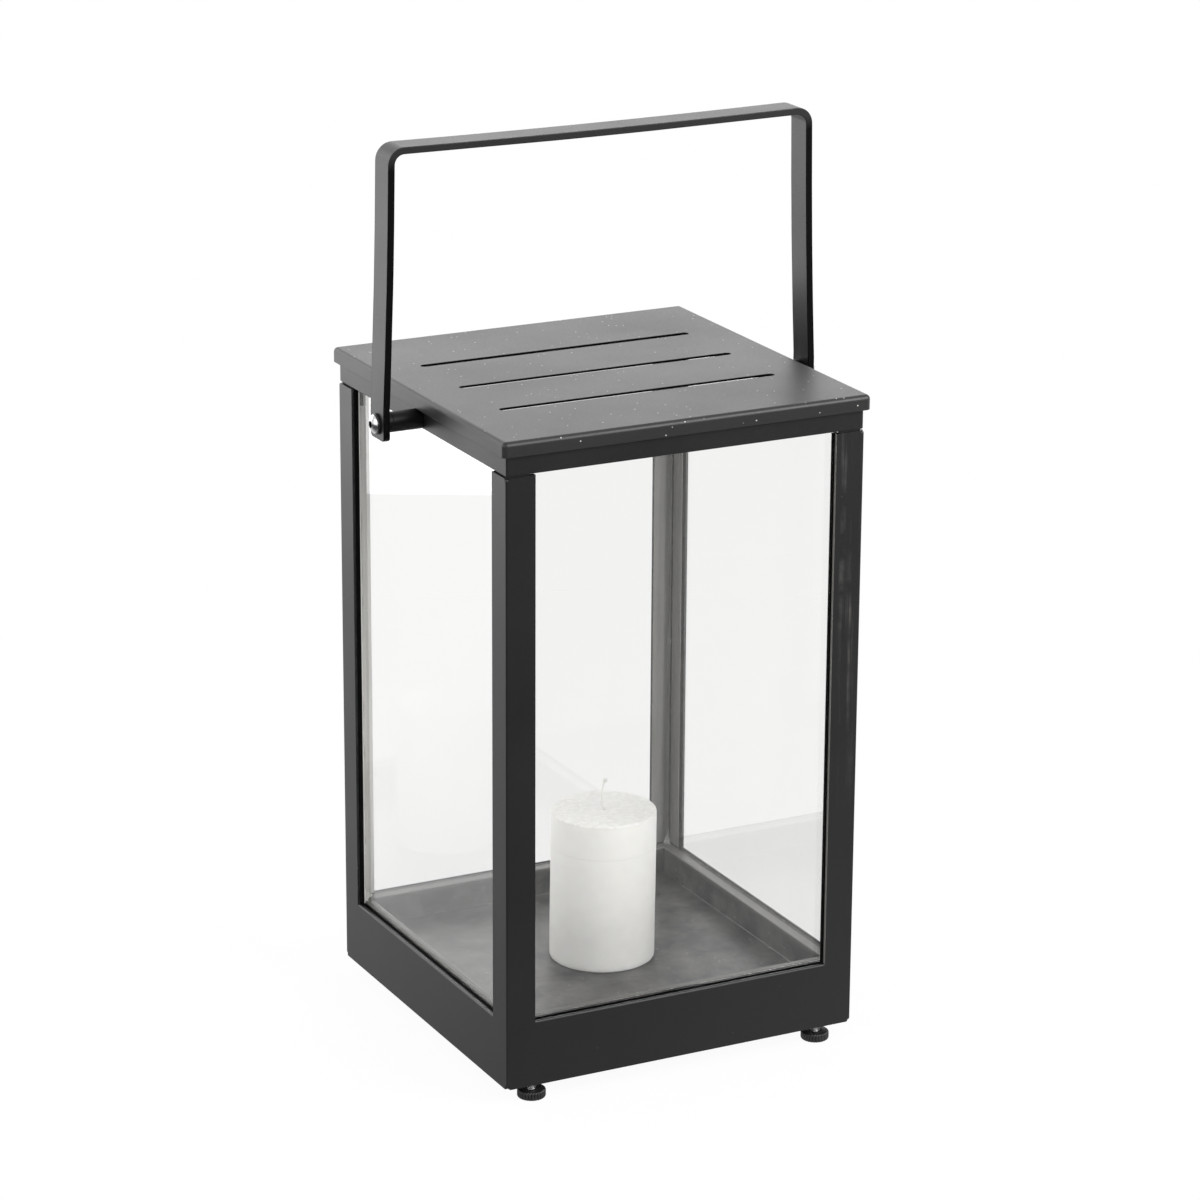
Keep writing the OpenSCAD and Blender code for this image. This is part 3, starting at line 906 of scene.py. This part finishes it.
class LANTERN_OT_lid(LanternOperator):
    """Finish the slotted lid"""

    bl_idname = "lantern.lid"
    bl_label = "Lid"

    def execute(self, context):
        metal = context.scene.lantern_metal
        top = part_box("lid_cap")[1].z
        # Inside 115 mm and below the lid's top face, the slot walls and underside are painted dark as
        # shade
        slots = gap_below(top - 0.15 * MM, -1.0, 115 * MM)
        coat = powder_coat("lid_powder_coat", metal, dust=0.06, hollow=slots)

        def on_slot(a, b):
            return max(abs(a.x), abs(a.y), abs(b.x), abs(b.y)) < 115 * MM

        soften("lid_cap", metal.sheet_edge, coat, skip=on_slot)
        return {"FINISHED"}


class LANTERN_OT_handle(LanternOperator):
    """Finish the flat-bar handle"""

    bl_idname = "lantern.handle"
    bl_label = "Handle"

    def execute(self, context):
        metal = context.scene.lantern_metal
        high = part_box("handle")[1]
        # The arms' front and back edges are painted dark with little sheen, as shade
        coat = powder_coat("handle_powder_coat", metal, hollow=shaded_bar_edges(high.y, high.z - 6 * MM))
        soften("handle", metal.bar_edge, coat, segments=5)
        return {"FINISHED"}


class LANTERN_OT_pivots(LanternOperator):
    """Finish the standoffs, collars, washers and pivot screws"""

    bl_idname = "lantern.pivots"
    bl_label = "Pivots"

    def execute(self, context):
        metal = context.scene.lantern_metal
        # The standoffs' and collars' coat is painted darker, with less sheen, as the shade under the lid
        coat = powder_coat("pivot_powder_coat", metal, depth=0.4)
        plastic = black_plastic("washer_plastic")
        low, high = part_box("pivot_screw_left")
        # The pivot screws' hex sockets are painted near-black, as shade and dirt
        steel = bright_metal("screw_steel", ((low.z + high.z) / 2, 2.4 * MM))
        edge = metal.hardware_edge
        for end in ENDS:
            soften("standoff_" + end, edge, coat)
            soften("collar_" + end, edge, coat)
            soften("washer_" + end, edge, plastic)
            soften("pivot_screw_" + end, edge, steel)
        return {"FINISHED"}


class LANTERN_OT_glass(LanternOperator):
    """Finish the four panes with ground edges"""

    bl_idname = "lantern.glass"
    bl_label = "Glass"

    def execute(self, context):
        settings = context.scene.lantern_glass
        glass = pane_glass("pane_glass", settings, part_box("glass_front")[0].z)
        for side in SIDES:
            soften("glass_" + side, settings.pane_edge, glass, segments=2)
        return {"FINISHED"}


def gasket(node, material):
    """The gasket with its two edges carried on past the bracket to the top of the post"""
    low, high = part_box(node)
    out = Vector((1 if low.x > 0 else -1, 1 if low.y > 0 else -1, 0))
    far = Vector((max(abs(low.x), abs(high.x)), max(abs(low.y), abs(high.y)), 0))
    near = Vector((min(abs(low.x), abs(high.x)), min(abs(low.y), abs(high.y)), 0))
    thick = far.y - abs(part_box("glass_front")[0].y)
    free = 3.8 * MM
    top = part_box("post_front_left")[1].z - 0.2 * MM
    bm = bmesh.new()
    bm.from_mesh(frame["nodes"][node].data)
    arms = ((near.x, near.x + free, far.y - thick, far.y), (far.x - thick, far.x, near.y, near.y + free))
    for x0, x1, y0, y1 in arms:
        size = Matrix.Diagonal((x1 - x0, y1 - y0, top - high.z, 1))
        centre = Vector((out.x * (x0 + x1) / 2, out.y * (y0 + y1) / 2, (top + high.z) / 2))
        bmesh.ops.create_cube(bm, size=1.0, matrix=Matrix.Translation(centre) @ size)
    return new_piece(node + "_shape", bm, material, node)


def bead(node, material, settings, seed, width=0.8):
    """A hand-drawn bead of silicone in an upright glass corner, thicker at its foot"""
    low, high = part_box(node)
    size = high.x - low.x
    inward = Vector((-1 if low.x > 0 else 1, -1 if low.y > 0 else 1, 0))
    corner = Vector((high.x if low.x > 0 else low.x, high.y if low.y > 0 else low.y, low.z))
    foot = 7 * MM
    arc_steps = 6
    bm = bmesh.new()
    rings = []
    steps = 90
    for k in range(steps + 1):
        u = k / steps
        z = (high.z - low.z) * u * u if u < 1 else high.z - low.z
        swell = 1 + (settings.blob_size - 1) * max(0.0, 1 - z / foot) ** 2
        wave = noise.noise(Vector((seed * 7.3, z / (11 * MM), 0.4)))
        reach = size * width * swell * (1 + settings.bead_wobble * wave)
        ring = [bm.verts.new(corner + Vector((0, 0, z)))]
        for i in range(arc_steps + 1):
            a = math.radians(180 + 90 * i / arc_steps)
            hollow = 0.75
            x = reach * (1 + hollow * math.cos(a)) if 0 < i < arc_steps else (0, reach)[i > 0]
            y = reach * (1 + hollow * math.sin(a)) if 0 < i < arc_steps else (reach, 0)[i > 0]
            ring.append(bm.verts.new(corner + Vector((inward.x * x, inward.y * y, z))))
        rings.append(ring)
    skin(bm, rings)
    bm.faces.new(rings[0])
    bm.faces.new(rings[-1])
    return new_piece(node + "_shape", bm, material, node)


class LANTERN_OT_seals(LanternOperator):
    """Finish the black gaskets and draw the silicone beads"""

    bl_idname = "lantern.seals"
    bl_label = "Seals"

    def execute(self, context):
        settings = context.scene.lantern_glass
        strip = rubber("gasket_rubber", abs(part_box("glass_front")[0].y))
        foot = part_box("glass_front")[0].z
        clear = clear_silicone("clear_silicone", foot, 0.04)
        milky = clear_silicone("milky_silicone", foot, 0.5)
        for seed, corner in enumerate(CORNERS):
            gasket("gasket_" + corner, strip)
            if corner == "back_left":
                bead("silicone_" + corner, milky, settings, seed, 1.5)
            else:
                bead("silicone_" + corner, clear, settings, seed, 0.6)
        return {"FINISHED"}


def foot_disc(node, material, settings):
    """A black disc with upright grip ribs, a rounded sole and a bevelled top"""
    low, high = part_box(node)
    r = (high.x - low.x) / 2
    h = high.z - low.z
    sole = 1.2 * MM
    bevel = 0.8 * MM
    hole = 3.1 * MM
    profile = [(0, 0), (r * 0.45, 0)]
    profile += quarter_arc((r - sole, sole), sole, -90, 4)
    profile += [(r, h - bevel - 1.2 * MM), (r, h - bevel), (r - 0.3 * MM, h - 0.3 * MM)]
    profile += [(r - bevel, h), (hole, h), (hole, h - 1 * MM), (0, h - 1 * MM)]
    per_rib = 6

    def rib(angle, radius, height):
        grip = min(1.0, max(0.0, (radius - (r - sole)) / sole))
        valley = abs(math.sin(settings.ribs * angle / 2)) ** 0.7
        return -settings.rib_depth * grip * (1 - valley)

    bm = bmesh.new()
    turned(bm, middle(low, high), profile, settings.ribs * per_rib, rib)
    return new_piece(node + "_shape", bm, material, node)


def foot_stud(node, material, settings):
    """A screw with a real helical thread"""
    low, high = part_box(node)
    r = (high.x - low.x) / 2
    h = high.z - low.z
    per_turn = 8
    steps = 24
    levels = int(round(h / settings.pitch * per_turn))
    profile = [(0, 0)] + [(r, h * k / levels) for k in range(levels + 1)] + [(0, h)]
    end = 1.0 * MM

    def thread(angle, radius, height):
        phase = (height / settings.pitch - angle / (2 * math.pi)) % 1.0
        flank = min(1.0, max(0.0, 2.4 * abs(phase - 0.5) - 0.1))
        taper = max(0.0, 1 - (h - height) / end) * 0.6
        return -settings.thread_depth * max(flank, taper)

    bm = bmesh.new()
    turned(bm, middle(low, high), profile, steps, thread)
    return new_piece(node + "_shape", bm, material, node)


class LANTERN_OT_feet(LanternOperator):
    """Shape the ribbed foot discs and threaded screws"""

    bl_idname = "lantern.feet"
    bl_label = "Feet"

    def execute(self, context):
        settings = context.scene.lantern_feet
        plastic = black_plastic("foot_plastic")
        steel = bright_metal("foot_steel")
        for corner in CORNERS:
            foot_disc("foot_disc_" + corner, plastic, settings)
            foot_stud("foot_stud_" + corner, steel, settings)
            dress("foot_bushing_" + corner, steel)
        return {"FINISHED"}


class LANTERN_OT_candle(LanternOperator):
    """Shape the pillar candle and its twisted wick"""

    bl_idname = "lantern.candle"
    bl_label = "Candle"

    def execute(self, context):
        settings = context.scene.lantern_candle
        low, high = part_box("candle")
        r = (high.x - low.x) / 2
        h = high.z - low.z
        rim = settings.rim
        side_steps = 40
        dish_steps = 10
        well = 1.3 * MM
        profile = [(0, 0), (r * 0.5, 0)]
        profile += quarter_arc((r - rim, rim), rim, -90, 5)
        profile += [(r, rim + (h - 2 * rim) * k / side_steps) for k in range(1, side_steps)]
        profile += quarter_arc((r - rim, h - rim), rim, 0, 6)
        inner = r - rim
        for k in range(1, dish_steps + 1):
            x = inner * (1 - k / dish_steps) + well * k / dish_steps
            profile.append((x, h - settings.dish * (1 - (x / inner) ** 2)))
        profile += [(well, h - settings.dish - 0.4 * MM), (0, h - settings.dish - 0.4 * MM)]
        seam = 0.66 * h

        def uneven(angle, radius, height):
            spot = Vector((math.cos(angle), math.sin(angle), height / (30 * MM))) * 1.3
            if radius < inner:
                return 0.3 * MM * noise.noise(spot * 2.0) * (radius / inner) ** 4
            groove = 0.25 * MM * math.exp(-(((height - seam) / (0.5 * MM)) ** 2))
            chip = max(0.0, 1 - height / (2.5 * MM)) * (0.4 + noise.noise(spot * 3.0))
            return -0.14 * MM * (1 + noise.noise(spot)) - groove - 0.5 * MM * max(0.0, chip)

        def settle(point):
            """Leans a point of the candle over and lets its poured top ripple"""
            height = point.z - low.z
            lean = Vector((0.89, -0.45, 0)) * settings.lean * (height / h - 0.5)
            top = max(0.0, height / h - 0.97) / 0.03
            ripple = noise.noise(Vector((point.x, point.y, 0)) / (9 * MM))
            return point + lean - Vector((0, 0, 0.35 * MM * top * (0.6 + ripple)))

        bm = bmesh.new()
        turned(bm, middle(low, high), profile, 160, uneven)
        for v in bm.verts:
            v.co = settle(v.co)
        wax = candle_wax("candle_wax", settings, high.z)
        new_piece("candle_shape", bm, wax, "candle")
        wick(settings, high.z)
        return {"FINISHED"}


def wick(settings, wax_top):
    """Three twisted cotton strands that sway a little and fray at the tip"""
    low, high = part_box("wick")
    base = middle(low, high)
    length = high.z - low.z
    buried = (wax_top - low.z) / length
    steps = 72
    aside = Vector((0.89, -0.45, 0))

    def spine(u):
        free = max(0.0, (u - buried) / (1 - buried))
        sway = 0.25 - 1.5 * math.sin(free * 2.6) + 1.7 * free * free
        return base + Vector((0, 0, length * u)) + aside * (sway * MM)

    bm = bmesh.new()
    for strand in range(3):
        points = []
        radii = []
        for k in range(steps + 1):
            u = k / steps
            angle = 2 * math.pi * (length * u / settings.wick_twist + strand / 3)
            opened = 0.33 + 0.45 * max(0.0, (u - 0.86) / 0.14)
            swirl = Vector((math.cos(angle), math.sin(angle), 0)) * opened * MM
            points.append(spine(u) + swirl)
            radii.append((0.44 - 0.10 * u) * MM)
        tube(bm, points, radii, 8)
    tip = spine(1.0)
    fibres = 16
    for i in range(fibres):
        angle = 2 * math.pi * i / fibres + 0.7 * (i % 2)
        out = Vector((math.cos(angle), math.sin(angle), 0)) * (0.7 + 0.35 * (i % 3)) * MM
        rise = length * 0.05 * (0.1 + 0.3 * (i * 5 % 4))
        start = tip - Vector((0, 0, 1.8 * MM)) + out * 0.35
        bend = start + out * 0.6 + Vector((0, 0, 0.9 * MM))
        end = tip + out * 1.15 + Vector((0, 0, rise))
        tube(bm, [start, bend, end], [0.2 * MM, 0.19 * MM, 0.1 * MM], 5)
    new_piece("wick_shape", bm, cotton("wick_cotton", settings), "wick")


def look_at(place, target):
    """Turns a lamp at place towards target"""
    turn = (Vector(target) - Vector(place)).to_track_quat("-Z", "Y")
    return Matrix.Translation(place) @ turn.to_matrix().to_4x4()


def soft_lamp(name, place, target, width, height, power):
    data = bpy.data.lights.new(name, "AREA")
    data.shape = "RECTANGLE"
    data.size = width
    data.size_y = height
    data.energy = power
    lamp = bpy.data.objects.new(name, data)
    lamp.matrix_world = look_at(place, target)
    bpy.context.scene.collection.objects.link(lamp)
    return lamp


def node_math(nodes, links, kind, a, b, clamp=False):
    """A maths node on two sockets or plain values"""
    node = nodes.new("ShaderNodeMath")
    node.operation = kind
    node.use_clamp = clamp
    for socket, value in zip(node.inputs, (a, b)):
        if isinstance(value, bpy.types.NodeSocket):
            links.new(value, socket)
        else:
            socket.default_value = value
    return node.outputs[0]


def seen_rays(nodes, links):
    """
    Three sockets that are 1 for certain rays: all that reach the picture straight or by the
    lantern, those off its metal, and those through its glass
    """
    path = nodes.new("ShaderNodeLightPath")
    through = path.outputs["Is Transmission Ray"]
    gloss = path.outputs["Is Glossy Ray"]
    off = node_math(nodes, links, "SUBTRACT", gloss, through, True)
    near = node_math(nodes, links, "MAXIMUM", gloss, through)
    seen = node_math(nodes, links, "MAXIMUM", path.outputs["Is Camera Ray"], near)
    return seen, off, through


def white_room(level):
    """A world that looks white and lights the lantern evenly at its own level"""
    world = bpy.data.worlds.new("white_room")
    bpy.context.scene.world = world
    world.use_nodes = True
    nodes = world.node_tree.nodes
    links = world.node_tree.links
    nodes.clear()
    output = nodes.new("ShaderNodeOutputWorld")
    sky = nodes.new("ShaderNodeBackground")
    strength = nodes.new("ShaderNodeMapRange")
    seen, _, through = seen_rays(nodes, links)
    links.new(seen, strength.inputs["Value"])
    strength.inputs["To Min"].default_value = level
    strength.inputs["To Max"].default_value = 1.0
    dim = node_math(nodes, links, "MULTIPLY", through, GLASS_LOSS)
    clear = node_math(nodes, links, "SUBTRACT", strength.outputs["Result"], dim)
    links.new(clear, sky.inputs["Strength"])
    sky.inputs["Color"].default_value = (1, 1, 1, 1)
    links.new(sky.outputs["Background"], output.inputs["Surface"])


def white_ground():
    """
    A white floor that keeps a soft trace of the lantern's shadow, and whose glow, as metal sees
    it, is a painted reflection that darkens towards the front right
    """
    bm = bmesh.new()
    reach = 4.0
    bmesh.ops.create_grid(bm, x_segments=8, y_segments=8, size=reach)
    mesh = bpy.data.meshes.new("ground")
    bm.to_mesh(mesh)
    bm.free()
    ground = bpy.data.objects.new("ground", mesh)
    bpy.context.scene.collection.objects.link(ground)
    material = bpy.data.materials.new("white_ground")
    material.use_nodes = True
    nodes = material.node_tree.nodes
    links = material.node_tree.links
    nodes.clear()
    output = nodes.new("ShaderNodeOutputMaterial")
    paper = nodes.new("ShaderNodeBsdfDiffuse")
    paper.inputs["Color"].default_value = (0.9, 0.9, 0.9, 1)
    glow = nodes.new("ShaderNodeEmission")
    seen, off, through = seen_rays(nodes, links)
    strength = nodes.new("ShaderNodeMapRange")
    links.new(off, strength.inputs["Value"])
    strength.inputs["To Min"].default_value = 1.0
    dim = node_math(nodes, links, "MULTIPLY", through, GLASS_LOSS)
    clear = node_math(nodes, links, "SUBTRACT", strength.outputs["Result"], dim)
    links.new(clear, glow.inputs["Strength"])
    blend = nodes.new("ShaderNodeMixShader")
    place = nodes.new("ShaderNodeTexCoord")
    reach_out = nodes.new("ShaderNodeVectorMath")
    reach_out.operation = "LENGTH"
    links.new(place.outputs["Object"], reach_out.inputs[0])
    fade = nodes.new("ShaderNodeMapRange")
    links.new(reach_out.outputs["Value"], fade.inputs["Value"])
    fade.inputs["From Min"].default_value = 0.3
    fade.inputs["From Max"].default_value = 0.9
    fade.inputs["To Min"].default_value = 0.95
    fade.inputs["To Max"].default_value = 1.0
    towards = nodes.new("ShaderNodeVectorMath")
    towards.operation = "DOT_PRODUCT"
    links.new(place.outputs["Object"], towards.inputs[0])
    towards.inputs[1].default_value = (0.5, 0.5, 0.0)
    # Metal sees the ground's glow as a painted reflection: white at the back left, dark at the front right
    painted_reflection = nodes.new("ShaderNodeMapRange")
    links.new(towards.outputs["Value"], painted_reflection.inputs["Value"])
    painted_reflection.inputs["From Min"].default_value = DARK_END
    painted_reflection.inputs["From Max"].default_value = WHITE_END
    painted_reflection.inputs["To Min"].default_value = DARKEST_GROUND
    painted_reflection.inputs["To Max"].default_value = 1.0
    links.new(painted_reflection.outputs["Result"], strength.inputs["To Max"])
    links.new(node_math(nodes, links, "MULTIPLY", seen, fade.outputs["Result"]), blend.inputs["Fac"])
    links.new(paper.outputs["BSDF"], blend.inputs[1])
    links.new(glow.outputs["Emission"], blend.inputs[2])
    links.new(blend.outputs["Shader"], output.inputs["Surface"])
    mesh.materials.append(material)


class LANTERN_OT_stage(LanternOperator):
    """Set up the camera, the lamps, the white room and the ground"""

    bl_idname = "lantern.stage"
    bl_label = "Stage"

    def execute(self, context):
        s = context.scene.lantern_stage
        data = bpy.data.cameras.new("camera")
        data.lens = s.lens
        data.sensor_width = 36
        data.clip_end = 50
        camera = bpy.data.objects.new("camera", data)
        turn = (
            Matrix.Rotation(s.azimuth, 4, "Z")
            @ Matrix.Rotation(math.pi / 2 - s.elevation, 4, "X")
            @ Matrix.Rotation(s.roll, 4, "Z")
        )
        back = turn @ Vector((0, 0, s.distance))
        camera.matrix_world = Matrix.Translation(Vector(s.aim) + back) @ turn
        context.scene.collection.objects.link(camera)
        context.scene.camera = camera
        context.scene.view_settings.view_transform = "Standard"
        heart = (0, 0, 0.28)
        soft_lamp("left_lamp", (-1.95, -0.2, 1.0), heart, 1.2, 1.2, s.left_power)
        soft_lamp("rim_lamp", (-0.6, 1.15, 0.40), (0, 0, 0.40), 1.1, 1.1, s.rim_power)
        soft_lamp("back_lamp", (0.4, 1.75, 1.05), (0, 0.2, 0.25), 3.4, 1.0, s.back_power)
        soft_lamp("fill_lamp", (0.95, -1.4, 1.3), heart, 1.0, 1.0, s.fill_power)
        white_room(s.room_level)
        white_ground()
        return {"FINISHED"}


class LANTERN_PT_panel(bpy.types.Panel):
    """Lists the lantern's settings and operators"""

    bl_idname = "LANTERN_PT_panel"
    bl_label = "Candle Lantern"
    bl_space_type = "VIEW_3D"
    bl_region_type = "UI"
    bl_category = "Lantern"

    def draw(self, context):
        layout = self.layout
        for title, name in SETTINGS_SHOWN:
            box = layout.box()
            box.label(text=title)
            settings = getattr(context.scene, name)
            for key in settings.bl_rna.properties.keys():
                if key not in {"rna_type", "name"}:
                    box.prop(settings, key)
        for operator in OPERATORS:
            layout.operator(operator.bl_idname)


SETTINGS = {
    "lantern_metal": LanternMetalSettings,
    "lantern_glass": LanternGlassSettings,
    "lantern_feet": LanternFootSettings,
    "lantern_candle": LanternCandleSettings,
    "lantern_stage": LanternStageSettings,
}
SETTINGS_SHOWN = (
    ("Metal", "lantern_metal"),
    ("Glass", "lantern_glass"),
    ("Feet", "lantern_feet"),
    ("Candle", "lantern_candle"),
    ("Stage", "lantern_stage"),
)
OPERATORS = (
    LANTERN_OT_frame_metal,
    LANTERN_OT_tray,
    LANTERN_OT_lid,
    LANTERN_OT_handle,
    LANTERN_OT_pivots,
    LANTERN_OT_glass,
    LANTERN_OT_seals,
    LANTERN_OT_feet,
    LANTERN_OT_candle,
    LANTERN_OT_stage,
)


def register():
    for name, group in SETTINGS.items():
        bpy.utils.register_class(group)
        setattr(bpy.types.Scene, name, PointerProperty(type=group))
    for operator in OPERATORS:
        bpy.utils.register_class(operator)
    bpy.utils.register_class(LANTERN_PT_panel)


def unregister():
    bpy.utils.unregister_class(LANTERN_PT_panel)
    for operator in reversed(OPERATORS):
        bpy.utils.unregister_class(operator)
    for name, group in SETTINGS.items():
        delattr(bpy.types.Scene, name)
        bpy.utils.unregister_class(group)


def main():
    register()
    bpy.ops.lantern.frame_metal()
    bpy.ops.lantern.tray()
    bpy.ops.lantern.lid()
    bpy.ops.lantern.handle()
    bpy.ops.lantern.pivots()
    bpy.ops.lantern.glass()
    bpy.ops.lantern.seals()
    bpy.ops.lantern.feet()
    bpy.ops.lantern.candle()
    bpy.ops.lantern.stage()


if __name__ == "__main__":
    main()
